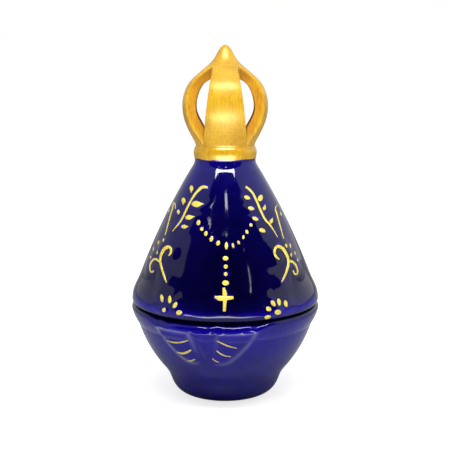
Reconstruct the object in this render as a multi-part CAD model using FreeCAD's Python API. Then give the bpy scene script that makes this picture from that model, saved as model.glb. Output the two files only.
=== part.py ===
"""A lidded pot in the form of a small tagine: a footed bowl with two relief wings,
a conical lid that lifts off and turns on the rim, and an openwork crown for a grip.

Millimetres, +Z up, origin at the centre of the foot's underside.
The front is -Y. Pieces are turned about Z, so most outlines are (radius, height).
"""

import FreeCAD
import Part
import math
import os

# Bowl, driving sizes
FOOT_HEIGHT = 13.0          # underside to the crease below the bowl wall
FOOT_FLAT_RADIUS = 19.2     # outer edge of the flat the pot stands on
FOOT_ROUNDING = 10.7        # round between that flat and the tapered side
FOOT_TAPER_DEG = 20.8       # side of the foot, leaning out from upright
FOOT_WALL = 5.0             # width of the standing ring, and of the hollow foot's wall
BOWL_WALL = 4.5
BOWL_SWELL = 1.8            # how far the wall bellies out from a straight cone
RIM_RADIUS = 50.5           # outside of the rim bead, the widest place on the pot
RIM_HEIGHT = 49.8           # the seat that the lid rests on
RIM_WIDTH = 6.5             # outside of the bead to the mouth
RIM_ROUNDING = 2.2          # outer edge of the rim
BEAD_STEP = 3.5             # how far the bead stands out from the wall below it
BEAD_HEIGHT = 10.1
BEAD_BOW = 0.45             # how far the bead's side bows out from straight
MOUTH_ROUNDING = 0.8
FLOOR_RADIUS = 21.0         # flat of the inner floor

# Relief wings on the bowl's front, measured in a view square to the wings
WING_TURN_DEG = -13.0       # the bowl is turned a little under the lid
WING_GAP_TOP = 7.4          # middle to the inner corner at the top
WING_SPAN_TOP = 26.0        # middle to the outer corner at the top
WING_TOP_DROP = 5.2         # rim seat down to the wings' upper edge
WING_LENGTH = 19.4          # upper edge down to the lowest point of the rounded tip
WING_TIP_OFFSET = 7.2       # middle to that lowest point
WING_TIP_HALF_WIDTH = 4.6
WING_TIP_OUTER_RISE = 1.5   # the rounded tip's ends, above its lowest point
WING_TIP_INNER_RISE = 3.1
WING_OUTER_BOW = 1.5        # how far the edges bow out from straight
WING_INNER_BOW = 0.75
WING_RELIEF = 1.5           # how far a wing stands out of the bowl wall at its tip

# Lid, driving sizes
LID_SETBACK = 0.3           # the lid's edge stands this far inside the rim's
LID_EDGE_ROUNDING = 3.4
LID_WALL = 4.4
LID_SWELL = 1.65            # how far the cone bellies out from straight
LIP_HEIGHT = 10.8           # rim plane to the top of the lid's thickened lip
LIP_STEP = 2.6              # how far the lip stands out from the cone above it
LIP_BOW = 0.6               # how far the lip's side bows out from straight
CONE_HEIGHT = 73.3          # rim plane to the top of the straight cone
NECK_RADIUS = 16.15
NECK_FLARE = 1.25           # the cone's top is this much wider than the neck
NECK_HEIGHT = 3.3           # hollow curve from the cone up to the collar
NECK_HOLLOW = 0.28          # how far that curve bows in
FLANGE_DEPTH = 6.0
FLANGE_WALL = 2.8
FLANGE_CLEARANCE = 0.8      # all round, inside the mouth
FLANGE_SLACK = 2.8          # upright mouth left below the flange
LEDGE_RISE = 6.0            # slope from the flange's inside out to the lid's inside
LEDGE_REACH = 3.4

# Crown, driving sizes. A place on it is (radius, height above the collar)
COLLAR_HEIGHT = 7.9
COLLAR_BULGE = 0.6              # how far the collar swells out
COLLAR_TOP_RADIUS = 15.95
CROWN_WALL = 4.4
CROWN_FLARE = 0.28              # lean of the arches as they leave the collar
CROWN_SHOULDER = (18.9, 6.5)    # where the arches spread
CROWN_BELLY = (22.35, 19.4)     # widest place
CROWN_HAUNCH = (18.1, 33.1)     # where the arches lean in
CROWN_JOIN = (9.2, 40.9)        # where the arches meet under the tip
CROWN_TIP_NECK = (4.6, 46.4)
CROWN_NOSE = (2.4, 50.2)        # where the tip rounds over
CROWN_HEIGHT = 52.0             # collar to the very tip
ARCH_FOOT_WIDTH = 22.4
ARCH_BELLY_WIDTH = 19.2
ARCH_TOP_WIDTH = 12.4
ARCH_EDGE_ROUNDING = 0.9
ARCH_NAMES = ("front", "right", "back", "left")

# Sizes and heights that follow
WALL_TOP_RADIUS = RIM_RADIUS - BEAD_STEP
WALL_TOP_HEIGHT = RIM_HEIGHT - BEAD_HEIGHT
MOUTH_RADIUS = RIM_RADIUS - RIM_WIDTH
MOUTH_DEPTH = FLANGE_DEPTH + FLANGE_SLACK
WING_TOP_HEIGHT = RIM_HEIGHT - WING_TOP_DROP
WING_TIP_HEIGHT = WING_TOP_HEIGHT - WING_LENGTH
LID_RADIUS = RIM_RADIUS - LID_SETBACK
LIP_TOP_RADIUS = LID_RADIUS - LIP_STEP
CONE_TOP_RADIUS = NECK_RADIUS + NECK_FLARE
FLANGE_RADIUS = MOUTH_RADIUS - FLANGE_CLEARANCE
FLANGE_BORE = FLANGE_RADIUS - FLANGE_WALL
LID_FOOT = RIM_HEIGHT
LIP_TOP = LID_FOOT + LIP_HEIGHT
CONE_TOP = LID_FOOT + CONE_HEIGHT
LID_TOP = CONE_TOP + NECK_HEIGHT
COLLAR_TOP = LID_TOP + COLLAR_HEIGHT

AXIS = FreeCAD.Vector(0, 0, 1)
ORIGIN = FreeCAD.Vector(0, 0, 0)
FULL_TURN = 360.0
QUARTER_TURN = 90.0
CORNER = 1 - math.sqrt(0.5)     # share of a rounding that its middle lies in from each face


def point(radius, height):
    """A point of an outline, in the XZ plane."""
    return FreeCAD.Vector(radius, 0, height)


def line(start, end):
    return Part.LineSegment(start, end).toShape()


def arc(start, middle, end):
    return Part.Arc(start, middle, end).toShape()


def bow(start, end, sag):
    """The middle of an arc that bows out by sag, to the right of start to end."""
    along = end.sub(start).normalize()
    outward = FreeCAD.Vector(along.z, 0, -along.x)
    return start.add(end).multiply(0.5).add(outward.multiply(sag))


def inset(place, centre, wall):
    """The point that lies one wall inside an arc, on the way to its centre."""
    return place.add(centre.sub(place).normalize().multiply(wall))


def arc_centre(start, middle, end):
    return arc(start, middle, end).Curve.Center


def turned(edges, angle=FULL_TURN):
    """A solid turned about Z from a closed outline."""
    face = Part.Face(Part.Wire(Part.__sortEdges__(edges)))
    solid = face.revolve(ORIGIN, AXIS, angle)
    return solid if solid.Volume > 0 else solid.reversed()


def about_z(shape, degrees):
    copy = shape.copy()
    copy.rotate(ORIGIN, AXIS, degrees)
    return copy


# Foot

def foot_side():
    """Ends of the foot's tapered side: where its round stops, and the crease above."""
    lean = math.radians(FOOT_TAPER_DEG)
    low = point(FOOT_FLAT_RADIUS + FOOT_ROUNDING * math.cos(lean), FOOT_ROUNDING * (1 - math.sin(lean)))
    high = point(low.x + (FOOT_HEIGHT - low.z) * math.tan(lean), FOOT_HEIGHT)
    return low, high


def foot_ring():
    """The hollow foot: a standing ring that widens up to the bowl's underside."""
    side_low, side_high = foot_side()
    round_middle = point(
        FOOT_FLAT_RADIUS + FOOT_ROUNDING * math.sin(math.radians(90 - FOOT_TAPER_DEG) / 2),
        FOOT_ROUNDING * (1 - math.cos(math.radians(90 - FOOT_TAPER_DEG) / 2)),
    )
    flat_outer = point(FOOT_FLAT_RADIUS, 0)
    flat_inner = point(FOOT_FLAT_RADIUS - FOOT_WALL, 0)
    hollow_top = point(side_high.x - FOOT_WALL / math.cos(math.radians(FOOT_TAPER_DEG)), FOOT_HEIGHT)
    return turned([
        line(flat_inner, flat_outer),
        arc(flat_outer, round_middle, side_low),
        line(side_low, side_high),
        line(side_high, hollow_top),
        line(hollow_top, flat_inner),
    ])


# Bowl

def bowl_outside():
    """The bowl's outer line from the crease above the foot to the flat of the rim."""
    crease = foot_side()[1]
    wall_top = point(WALL_TOP_RADIUS, WALL_TOP_HEIGHT)
    bead_top = point(RIM_RADIUS, RIM_HEIGHT - RIM_ROUNDING)
    rim_flat = point(RIM_RADIUS - RIM_ROUNDING, RIM_HEIGHT)
    rim_round = point(RIM_RADIUS - RIM_ROUNDING * CORNER, RIM_HEIGHT - RIM_ROUNDING * CORNER)
    return [
        (crease, bow(crease, wall_top, BOWL_SWELL), wall_top),
        (wall_top, bow(wall_top, bead_top, BEAD_BOW), bead_top),
        (bead_top, rim_round, rim_flat),
    ]


def bowl_shell():
    outside = bowl_outside()
    crease, wall_middle, _ = outside[0]
    rim_flat = outside[-1][-1]
    mouth_top = point(MOUTH_RADIUS, RIM_HEIGHT - MOUTH_ROUNDING)
    mouth_flat = point(MOUTH_RADIUS + MOUTH_ROUNDING, RIM_HEIGHT)
    mouth_round = point(MOUTH_RADIUS + MOUTH_ROUNDING * CORNER, RIM_HEIGHT - MOUTH_ROUNDING * CORNER)
    mouth_foot = point(MOUTH_RADIUS, RIM_HEIGHT - MOUTH_DEPTH)
    floor_edge = point(FLOOR_RADIUS, FOOT_HEIGHT + BOWL_WALL)
    inner_middle = inset(wall_middle, arc_centre(*outside[0]), BOWL_WALL)
    return turned([
        line(point(0, FOOT_HEIGHT), crease),
        *[arc(*stretch) for stretch in outside],
        line(rim_flat, mouth_flat),
        arc(mouth_flat, mouth_round, mouth_top),
        line(mouth_top, mouth_foot),
        arc(mouth_foot, inner_middle, floor_edge),
        line(floor_edge, point(0, floor_edge.z)),
        line(point(0, floor_edge.z), point(0, FOOT_HEIGHT)),
    ])


# Relief wings

def wing_skin():
    """A turned layer over the bowl's front that the wings are cut from."""
    outside = bowl_outside()
    crease = outside[0][0]
    wall_centre = arc_centre(*outside[0])
    skin_low = inset(crease, wall_centre, -WING_RELIEF)
    skin_middle = inset(outside[0][1], wall_centre, -WING_RELIEF)
    skin_top = point(RIM_RADIUS, WING_TOP_HEIGHT)
    layer = turned([
        line(point(0, skin_low.z), skin_low),
        arc(skin_low, skin_middle, skin_top),
        line(skin_top, point(0, skin_top.z)),
        line(point(0, skin_top.z), point(0, skin_low.z)),
    ])
    core = turned([
        line(point(0, FOOT_HEIGHT), crease),
        *[arc(*stretch) for stretch in outside],
        line(outside[-1][-1], point(0, RIM_HEIGHT)),
        line(point(0, RIM_HEIGHT), point(0, FOOT_HEIGHT)),
    ])
    return layer.cut(core)


def wing_outline():
    """The right wing seen square on: a lobe that hangs from the rim to a rounded tip."""
    inner_top = point(WING_GAP_TOP, WING_TOP_HEIGHT)
    outer_top = point(WING_SPAN_TOP, WING_TOP_HEIGHT)
    tip = point(WING_TIP_OFFSET, WING_TIP_HEIGHT)
    tip_outer = point(WING_TIP_OFFSET + WING_TIP_HALF_WIDTH, WING_TIP_HEIGHT + WING_TIP_OUTER_RISE)
    tip_inner = point(WING_TIP_OFFSET - WING_TIP_HALF_WIDTH, WING_TIP_HEIGHT + WING_TIP_INNER_RISE)
    return [
        line(inner_top, outer_top),
        arc(outer_top, bow(tip_outer, outer_top, WING_OUTER_BOW), tip_outer),
        arc(tip_outer, tip, tip_inner),
        arc(tip_inner, bow(inner_top, tip_inner, WING_INNER_BOW), inner_top),
    ]


def relief_wings():
    """The left and the right wing, each one solid seated on the bowl."""
    face = Part.Face(Part.Wire(Part.__sortEdges__(wing_outline())))
    block = face.extrude(FreeCAD.Vector(0, -2 * RIM_RADIUS, 0))
    right = wing_skin().common(block)
    left = right.mirror(ORIGIN, FreeCAD.Vector(1, 0, 0))
    return {
        "relief_wing_left": about_z(left, WING_TURN_DEG),
        "relief_wing_right": about_z(right, WING_TURN_DEG),
    }


# Lid

def cone_arc():
    """The cone's outer line, from the lip up to the neck, as (start, middle, end)."""
    lip = point(LIP_TOP_RADIUS, LIP_TOP)
    top = point(CONE_TOP_RADIUS, CONE_TOP)
    return lip, bow(lip, top, LID_SWELL), top


def lid_cone():
    lip, cone_middle, cone_top = cone_arc()
    edge_flat = point(LID_RADIUS - LID_EDGE_ROUNDING, LID_FOOT)
    edge_side = point(LID_RADIUS, LID_FOOT + LID_EDGE_ROUNDING)
    edge_round = point(LID_RADIUS - LID_EDGE_ROUNDING * CORNER, LID_FOOT + LID_EDGE_ROUNDING * CORNER)
    neck_top = point(NECK_RADIUS, LID_TOP)
    neck_middle = bow(cone_top, neck_top, -NECK_HOLLOW)
    centre = arc_centre(lip, cone_middle, cone_top)
    flange_inner = point(FLANGE_BORE, LID_FOOT)
    ledge = point(flange_inner.x + LEDGE_REACH, LID_FOOT + LEDGE_RISE)
    inner_top = inset(cone_top, centre, LID_WALL)
    return turned([
        line(flange_inner, edge_flat),
        arc(edge_flat, edge_round, edge_side),
        arc(edge_side, bow(edge_side, lip, LIP_BOW), lip),
        arc(lip, cone_middle, cone_top),
        arc(cone_top, neck_middle, neck_top),
        line(neck_top, point(0, LID_TOP)),
        line(point(0, LID_TOP), point(0, inner_top.z)),
        line(point(0, inner_top.z), inner_top),
        arc(inner_top, inset(cone_middle, centre, LID_WALL), ledge),
        line(ledge, flange_inner),
    ])


def lid_flange():
    """The ring under the lid that keeps it centred in the mouth."""
    low = LID_FOOT - FLANGE_DEPTH
    corners = [
        point(FLANGE_BORE, low),
        point(FLANGE_RADIUS, low),
        point(FLANGE_RADIUS, LID_FOOT),
        point(FLANGE_BORE, LID_FOOT),
    ]
    return turned([line(a, b) for a, b in zip(corners, corners[1:] + corners[:1])])


# Crown

def crown_collar():
    """The closed band that carries the arches and makes the crown's floor."""
    foot_centre = point(0, LID_TOP)
    foot_edge = point(NECK_RADIUS, LID_TOP)
    top_edge = point(COLLAR_TOP_RADIUS, COLLAR_TOP)
    top_centre = point(0, COLLAR_TOP)
    return turned([
        line(foot_centre, foot_edge),
        arc(foot_edge, bow(foot_edge, top_edge, COLLAR_BULGE), top_edge),
        line(top_edge, top_centre),
        line(top_centre, foot_centre),
    ])


def above_collar(place):
    radius, height = place
    return point(radius, COLLAR_TOP + height)


def crown_curve():
    """The crown's outer line, one smooth ogee from the collar to the tip."""
    stations = [
        point(COLLAR_TOP_RADIUS, COLLAR_TOP),
        above_collar(CROWN_SHOULDER),
        above_collar(CROWN_BELLY),
        above_collar(CROWN_HAUNCH),
        above_collar(CROWN_JOIN),
        above_collar(CROWN_TIP_NECK),
        above_collar(CROWN_NOSE),
        point(0, COLLAR_TOP + CROWN_HEIGHT),
    ]
    curve = Part.BSplineCurve()
    curve.interpolate(
        Points=stations,
        InitialTangent=FreeCAD.Vector(CROWN_FLARE, 0, 1),
        FinalTangent=FreeCAD.Vector(-1, 0, 0),
    )
    return curve


def crown_inside():
    """The arches' inner line, one wall inside the outer one, closing on the axis."""
    curve = crown_curve()
    stations = [point(COLLAR_TOP_RADIUS - CROWN_WALL, COLLAR_TOP)]
    for place in (CROWN_SHOULDER, CROWN_BELLY, CROWN_HAUNCH):
        outer = above_collar(place)
        along = curve.tangent(curve.parameter(outer))[0]
        stations.append(outer.add(FreeCAD.Vector(-along.z, 0, along.x).multiply(CROWN_WALL)))
    stations.append(point(0, COLLAR_TOP + CROWN_JOIN[1] - CROWN_WALL))
    inner = Part.BSplineCurve()
    inner.interpolate(
        Points=stations,
        InitialTangent=FreeCAD.Vector(CROWN_FLARE, 0, 1),
        FinalTangent=FreeCAD.Vector(-1, 0, 0),
    )
    return inner


def arch_outline():
    """One arch seen square on: a strap that narrows from its foot to the tip."""
    foot = point(ARCH_FOOT_WIDTH / 2, COLLAR_TOP)
    belly = point(ARCH_BELLY_WIDTH / 2, COLLAR_TOP + CROWN_BELLY[1])
    top = point(ARCH_TOP_WIDTH / 2, COLLAR_TOP + CROWN_JOIN[1])
    across = [FreeCAD.Vector(-p.x, 0, p.z) for p in (foot, belly, top)]
    return [
        arc(foot, belly, top),
        line(top, across[2]),
        arc(across[2], across[1], across[0]),
        line(across[0], foot),
    ]


def crown_arch():
    """The front arch: a quarter of the crown's turned shell, cut to the strap's outline."""
    outer = crown_curve()
    join = above_collar(CROWN_JOIN)
    inner = crown_inside()
    inner_apex = point(0, COLLAR_TOP + CROWN_JOIN[1] - CROWN_WALL)
    inner_foot = point(COLLAR_TOP_RADIUS - CROWN_WALL, COLLAR_TOP)
    quarter = turned([
        outer.toShape(outer.FirstParameter, outer.parameter(join)),
        line(join, point(0, join.z)),
        line(point(0, join.z), inner_apex),
        inner.toShape(),
        line(inner_foot, point(COLLAR_TOP_RADIUS, COLLAR_TOP)),
    ], QUARTER_TURN)
    quarter = about_z(quarter, -QUARTER_TURN - QUARTER_TURN / 2)
    face = Part.Face(Part.Wire(Part.__sortEdges__(arch_outline())))
    block = face.extrude(FreeCAD.Vector(0, -2 * CROWN_BELLY[0], 0))
    strap = quarter.common(block)
    outer_edges = [edge for edge in strap.Edges if edge.BoundBox.ZLength > CROWN_HAUNCH[1]]
    return strap.Solids[0].makeFillet(min(ARCH_EDGE_ROUNDING, CROWN_WALL / 2), outer_edges)


def crown_tip():
    outer = crown_curve()
    join = above_collar(CROWN_JOIN)
    return turned([
        outer.toShape(outer.parameter(join), outer.LastParameter),
        line(point(0, COLLAR_TOP + CROWN_HEIGHT), point(0, join.z)),
        line(point(0, join.z), join),
    ])


def crown_arches():
    front = crown_arch()
    return {f"crown_arch_{name}": about_z(front, QUARTER_TURN * k) for k, name in enumerate(ARCH_NAMES)}


def main():
    pieces = {
        "foot_ring": foot_ring(),
        "bowl_shell": bowl_shell(),
        **relief_wings(),
        "lid_flange": lid_flange(),
        "lid_cone": lid_cone(),
        "crown_collar": crown_collar(),
        **crown_arches(),
        "crown_tip": crown_tip(),
    }
    os.makedirs("parts", exist_ok=True)
    for name, shape in pieces.items():
        box = shape.optimalBoundingBox()
        print(f"{name}: {len(shape.Solids)} solid, {shape.Volume / 1000:.1f} cm3, valid {shape.isValid()}, "
              f"z {box.ZMin:.1f} to {box.ZMax:.1f}, x {box.XMin:.1f} to {box.XMax:.1f}")
        shape.exportStep(f"parts/{name}.step")


main()
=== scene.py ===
# %% [markdown]
# A small tagine pot in cobalt glaze and gold
#
# This lesson dresses a lidded pot of tagine form: a footed bowl, a tall conical lid and an open
# gilded crown for a grip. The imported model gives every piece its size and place. Here each piece
# gets the soft edges, the glaze, the lustre and the brushwork that a potter and a painter give it.
# The pot's lengths are written in millimetres and turned into metres with MM where they meet Blender.
# The lamps and the floor, which are larger, are written in metres.

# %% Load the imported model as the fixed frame
import math

import bmesh
import bpy
from mathutils import Matrix, Vector, noise
from mathutils.bvhtree import BVHTree
from mathutils.geometry import interpolate_bezier
from mathutils.kdtree import KDTree


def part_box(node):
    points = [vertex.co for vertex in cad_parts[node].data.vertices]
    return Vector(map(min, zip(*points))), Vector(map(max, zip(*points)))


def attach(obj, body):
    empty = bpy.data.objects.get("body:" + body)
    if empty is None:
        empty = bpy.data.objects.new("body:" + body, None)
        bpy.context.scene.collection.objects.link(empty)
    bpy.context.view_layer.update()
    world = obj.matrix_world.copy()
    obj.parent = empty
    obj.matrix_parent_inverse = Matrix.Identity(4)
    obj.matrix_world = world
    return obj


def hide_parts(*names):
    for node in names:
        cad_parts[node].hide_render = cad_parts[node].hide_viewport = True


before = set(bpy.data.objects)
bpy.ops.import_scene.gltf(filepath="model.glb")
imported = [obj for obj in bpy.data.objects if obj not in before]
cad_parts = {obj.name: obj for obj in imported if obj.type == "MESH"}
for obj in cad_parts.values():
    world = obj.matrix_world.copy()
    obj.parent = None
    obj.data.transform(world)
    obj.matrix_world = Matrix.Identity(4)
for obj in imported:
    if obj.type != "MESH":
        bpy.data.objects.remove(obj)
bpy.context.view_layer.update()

MM = 0.001

# %% [markdown]
# Heights that the pieces share come from the frame, so nothing here drifts away from the solids.

# %% Read the shared heights, in millimetres
FOOT_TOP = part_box("foot_ring")[1].z / MM
RIM_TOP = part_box("bowl_shell")[1].z / MM
RIM_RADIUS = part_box("bowl_shell")[1].x / MM
LID_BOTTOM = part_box("lid_cone")[0].z / MM
LID_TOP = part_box("lid_cone")[1].z / MM
COLLAR_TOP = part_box("crown_collar")[1].z / MM
CROWN_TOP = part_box("crown_tip")[1].z / MM
print("foot, rim, lid and crown tops:", FOOT_TOP, RIM_TOP, LID_TOP, CROWN_TOP)

# %% [markdown]
# The camera stands half a metre in front of the pot, a little lower than the crown's tip, and looks
# slightly down. The long lens keeps the pot's sides nearly parallel. The small shift puts the pot's
# axis where it stands in the picture without turning the camera.

# %% Place the camera
PHOTO_SIDE_PIXELS = 455
FOCAL_LENGTH_PIXELS = 904.6
AXIS_LEFT_PIXELS = 2.3
AIM_ABOVE_PIXELS = 2.5
CAMERA_PLACE = (0, -480 * MM, 169.1 * MM)
CAMERA_PITCH = math.radians(80.77)

bpy.ops.object.camera_add(location=CAMERA_PLACE, rotation=(CAMERA_PITCH, 0, 0))
camera = bpy.context.object
camera.data.lens = FOCAL_LENGTH_PIXELS / PHOTO_SIDE_PIXELS * camera.data.sensor_width
camera.data.shift_x = AXIS_LEFT_PIXELS / PHOTO_SIDE_PIXELS
camera.data.shift_y = -AIM_ABOVE_PIXELS / PHOTO_SIDE_PIXELS
camera.data.clip_start = 10 * MM
bpy.context.scene.camera = camera
bpy.context.scene.view_settings.view_transform = "Standard"
print("lens:", round(camera.data.lens, 2), "mm")

# %% [markdown]
# Small helpers for node trees. A material is a few nodes wired by hand, so one function adds a node
# with its settings, and the others add the nodes for sums, smooth steps and two-tone colours with
# their wires.

# %% Helpers for nodes
def add_node(tree, kind, settings=None, **values):
    """Add a node, set its own properties, then the values of its named input sockets."""
    node = tree.nodes.new(kind)
    for name, value in (settings or {}).items():
        setattr(node, name, value)
    for name, value in values.items():
        node.inputs[name.replace("_", " ")].default_value = value
    return node


def math_node(tree, operation, first, second=None):
    """A Math node whose inputs are sockets or plain numbers; returns its output socket."""
    node = add_node(tree, "ShaderNodeMath", {"operation": operation})
    for socket, value in zip(node.inputs, (first, second)):
        if isinstance(value, bpy.types.NodeSocket):
            tree.links.new(value, socket)
        elif value is not None:
            socket.default_value = value
    return node.outputs[0]


def ease_node(tree, value, low, high, to_low=0.0, to_high=1.0):
    """A smooth step of a socket from to_low at low to to_high at high; returns its output socket."""
    node = add_node(tree, "ShaderNodeMapRange", {"interpolation_type": "SMOOTHSTEP"})
    for name, number in zip(("From Min", "From Max", "To Min", "To Max"), (low, high, to_low, to_high)):
        node.inputs[name].default_value = number
    tree.links.new(value, node.inputs["Value"])
    return node.outputs["Result"]


def two_tone(tree, value, low, low_colour, high, high_colour):
    """A colour that changes between two values of a socket; returns its output socket."""
    ramp = add_node(tree, "ShaderNodeValToRGB")
    for stop, position, colour in zip(ramp.color_ramp.elements, (low, high), (low_colour, high_colour)):
        stop.position = position
        stop.color = colour
    tree.links.new(value, ramp.inputs["Fac"])
    return ramp.outputs["Color"]


print("helpers:", add_node.__name__, math_node.__name__, ease_node.__name__, two_tone.__name__)

# %% [markdown]
# Glossy ware is photographed in a white tent: a box of white cloth that is open only in front. The
# glaze mirrors the white walls at its sides and the dark opening in the middle, and that contrast is
# what makes it look wet. Here the world plays the tent. It is white all round, dark where a direction
# leaves through the opening, and plain white to the camera itself.

# %% Make the white tent
TENT_WHITE = 0.66
TENT_LEAN = 0.14
OPENING_DARK = 0.006
OPENING_HALF_WIDTH = 2.05
OPENING_TOP = 1.62
OPENING_EDGE = 0.12
LEAST_FORWARD = 0.001

world = bpy.data.worlds.new("white_tent")
bpy.context.scene.world = world
world.use_nodes = True
tree = world.node_tree
tree.nodes.clear()
direction = add_node(tree, "ShaderNodeSeparateXYZ")
tree.links.new(add_node(tree, "ShaderNodeTexCoord").outputs["Generated"], direction.inputs[0])
forward = math_node(tree, "MULTIPLY", direction.outputs["Y"], -1.0)
towards_front = math_node(tree, "MAXIMUM", forward, LEAST_FORWARD)
across = math_node(tree, "ABSOLUTE", math_node(tree, "DIVIDE", direction.outputs["X"], towards_front))
upward = math_node(tree, "DIVIDE", direction.outputs["Z"], towards_front)
beside = ease_node(tree, across, OPENING_HALF_WIDTH, OPENING_HALF_WIDTH + OPENING_EDGE)
above = ease_node(tree, upward, OPENING_TOP, OPENING_TOP + OPENING_EDGE)
wall = math_node(tree, "MAXIMUM", beside, above)
white = ease_node(tree, direction.outputs["X"], -1.0, 1.0, TENT_WHITE - TENT_LEAN, TENT_WHITE + TENT_LEAN)
light = math_node(tree, "MAXIMUM", math_node(tree, "MULTIPLY", wall, white), OPENING_DARK)
seen = add_node(tree, "ShaderNodeLightPath").outputs["Is Camera Ray"]
background = add_node(tree, "ShaderNodeBackground", Color=(1, 1, 1, 1))
tree.links.new(math_node(tree, "MAXIMUM", light, seen), background.inputs["Strength"])
output = add_node(tree, "ShaderNodeOutputWorld")
tree.links.new(background.outputs[0], output.inputs["Surface"])
print("tent:", TENT_WHITE, "opening:", OPENING_DARK)

# %% [markdown]
# A long strip lamp at the tent's upper front edge is the key light. It draws the bright bow on the
# lid's neck and the thin streaks on the rim. Three small soft panels below it draw the dim upright
# streaks in the middle of the lid. All are area lamps, because glaze mirrors a lamp's own shape.

# %% Hang the lamps
POT_MIDDLE = Vector((0, 0, 100 * MM))
LAMPS = {
    # name: (side angle, height angle, distance, width, depth, watts)
    "lamp_strip": (0, 61.5, 0.55, 0.46, 0.070, 2.4),
    "front_panel": (3, 48.0, 0.70, 0.055, 0.055, 0.10),
    "left_panel": (-28, 45.5, 0.70, 0.024, 0.055, 0.026),
    "right_panel": (35, 26, 0.70, 0.018, 0.040, 0.011),
}


def add_soft_lamp(name, place, turned, width, depth, watts):
    """A soft rectangular lamp that lights the pot and isn't seen itself."""
    bpy.ops.object.light_add(type="AREA", location=place, rotation=turned)
    lamp = bpy.context.object
    lamp.name = name
    lamp.data.shape = "RECTANGLE"
    lamp.data.size = width
    lamp.data.size_y = depth
    lamp.data.energy = watts
    lamp.visible_camera = False
    print("lamp:", name, "of", watts, "watts")


def way_to_lamp(side, height):
    """The direction from the pot to a lamp, from its side and height angles in degrees."""
    side, height = math.radians(side), math.radians(height)
    level = math.cos(height)
    return Vector((math.sin(side) * level, -math.cos(side) * level, math.sin(height)))


for name, (side, height, distance, width, depth, watts) in LAMPS.items():
    way = way_to_lamp(side, height)
    turned = way.to_track_quat("Z", "Y").to_euler()
    add_soft_lamp(name, POT_MIDDLE + way * distance, turned, width, depth, watts)

# %% [markdown]
# Under the strip the white sheet is brightest, and that patch throws light up at the crown. A flat
# lamp on the floor, out of the picture in front of the pot, does the same.

# %% Lay the bright patch in front
PATCH_PLACE = (0, -0.33, 0.002)
PATCH_TURN = (math.pi, 0, 0)
PATCH_WIDTH, PATCH_DEPTH, PATCH_WATTS = 0.40, 0.20, 2.2

add_soft_lamp("bright_patch", PATCH_PLACE, PATCH_TURN, PATCH_WIDTH, PATCH_DEPTH, PATCH_WATTS)

# %% [markdown]
# The floor is a plain white sheet. To the camera it glows a little, so that it meets the white
# background without an edge, and it still takes the pot's soft shadow.

# %% Lay the floor
FLOOR_SIDE = 6.0
FLOOR_COLOUR = (0.57, 0.57, 0.57, 1)
FLOOR_GLOW = 0.76

bpy.ops.mesh.primitive_plane_add(size=FLOOR_SIDE)
floor = bpy.context.object
floor.name = "floor"
paper = bpy.data.materials.new("white_paper")
paper.use_nodes = True
tree = paper.node_tree
shader = tree.nodes["Principled BSDF"]
shader.inputs["Base Color"].default_value = FLOOR_COLOUR
shader.inputs["Roughness"].default_value = 1.0
shader.inputs["Specular IOR Level"].default_value = 0.0
shader.inputs["Emission Color"].default_value = (1, 1, 1, 1)
seen = add_node(tree, "ShaderNodeLightPath").outputs["Is Camera Ray"]
tree.links.new(math_node(tree, "MULTIPLY", seen, FLOOR_GLOW), shader.inputs["Emission Strength"])
floor.data.materials.append(paper)
print("floor:", FLOOR_SIDE, "metres square")

# %% [markdown]
# Cobalt glaze is blue glass over pale clay. Where it runs thin, at the top of the lid and on the rims,
# the clay lights it to a bright blue, and where it pools it goes nearly black. It could be modelled as
# real glass over clay, but that is slow to render and doesn't export. So the colour simply follows the
# height on each piece. The heights also carry painted light and shade: the lid is lighter towards its top
# and lip partly by painted light, and the glaze is nearly black in the seam between lid and bowl, which
# is painted shade.

# %% Mix the glaze's colours
THICK_GLAZE = (0.0006, 0.0003, 0.016, 1)
THIN_GLAZE = (0.0120, 0.0030, 0.550, 1)


def glaze_colour(thinness):
    """The glaze's colour, from nearly black where thinness is 0 to bright blue where it is 1."""
    return [a + (b - a) * thinness for a, b in zip(THICK_GLAZE, THIN_GLAZE)]


def colour_by_height(tree, height, thin_lit_and_shaded_at, bottom, top):
    """A ramp of the glaze's colours at heights in mm; returns its output socket."""
    share = add_node(tree, "ShaderNodeMapRange", From_Min=bottom * MM, From_Max=top * MM)
    tree.links.new(height, share.inputs["Value"])
    ramp = add_node(tree, "ShaderNodeValToRGB")
    ramp.color_ramp.interpolation = "EASE"
    stops = ramp.color_ramp.elements
    while len(stops) < len(thin_lit_and_shaded_at):
        stops.new(0.5)
    for stop, (level, thinness) in zip(stops, thin_lit_and_shaded_at):
        stop.position = (level - bottom) / (top - bottom)
        stop.color = glaze_colour(thinness)
    tree.links.new(share.outputs["Result"], ramp.inputs["Fac"])
    return ramp.outputs["Color"]


print("glaze from", THICK_GLAZE[:3], "to", THIN_GLAZE[:3])

# %% [markdown]
# Fine mottling and a slight unevenness of gloss keep the glaze from looking like plastic. A coarse noise
# gives both, a fine one adds specks, and all that they do to the colour is to darken or lighten it a
# little. A smooth step across the piece also makes it lighter towards its sides as seen from the front,
# which is painted light. The reflections come from the shader, not from the colour.

# %% Helper for making a glaze
MOTTLE_SIZE, MOTTLE_SPAN, MOTTLE_SHADE = 7.0, (0.3, 0.7), (0.82, 1.15)
SPECK_SIZE, SPECK_SPAN, SPECK_SHADE = 0.7, (0.25, 0.75), (0.93, 1.07)
GLAZE_GLOSS = (0.035, 0.075)
GLAZE_IOR = 1.5
SIDE_WIDTH = 40.0
# The places of a Mix node's sockets for colours.
COLOUR_A, COLOUR_B, COLOUR_OUT = 6, 7, 2


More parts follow.
